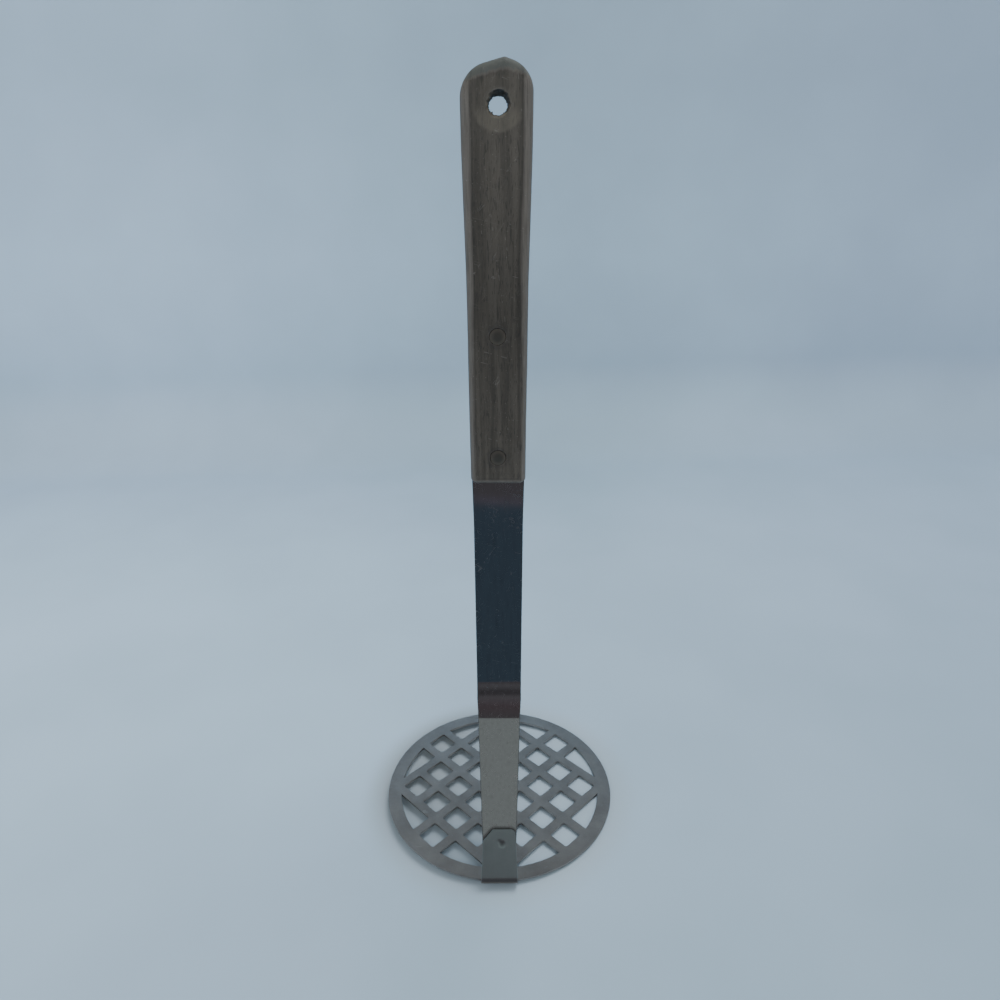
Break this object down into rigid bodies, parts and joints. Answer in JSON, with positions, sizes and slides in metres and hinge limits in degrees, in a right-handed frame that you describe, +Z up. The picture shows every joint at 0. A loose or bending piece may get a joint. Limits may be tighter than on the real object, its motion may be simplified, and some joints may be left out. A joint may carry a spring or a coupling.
{
  "type": "potato masher",
  "caption": "Potato masher with a round lattice disc, a bent flat shank and a riveted wooden handle with a hang hole.",
  "frame": {"origin": "centre of the mashing disc on its underside", "axes": "+Z up along the handle, -Y towards the front, where the disc's tab is folded up, +X to the right seen from the front"},
  "size_m": [0.089, 0.0905, 0.2572],
  "materials": {
    "disc_steel": "worn satin stainless",
    "shank_steel": "polished stainless with fine scratches",
    "handle_wood": "dark worn hardwood, lengthwise grain",
    "rivet_steel": "dull dark steel"
  },
  "bodies": {
    "root": {"mashing_disc": "disc_steel", "shank": "shank_steel", "handle": "handle_wood", "upper_rivet": "rivet_steel", "lower_rivet": "rivet_steel"}
  },
  "joints": []
}
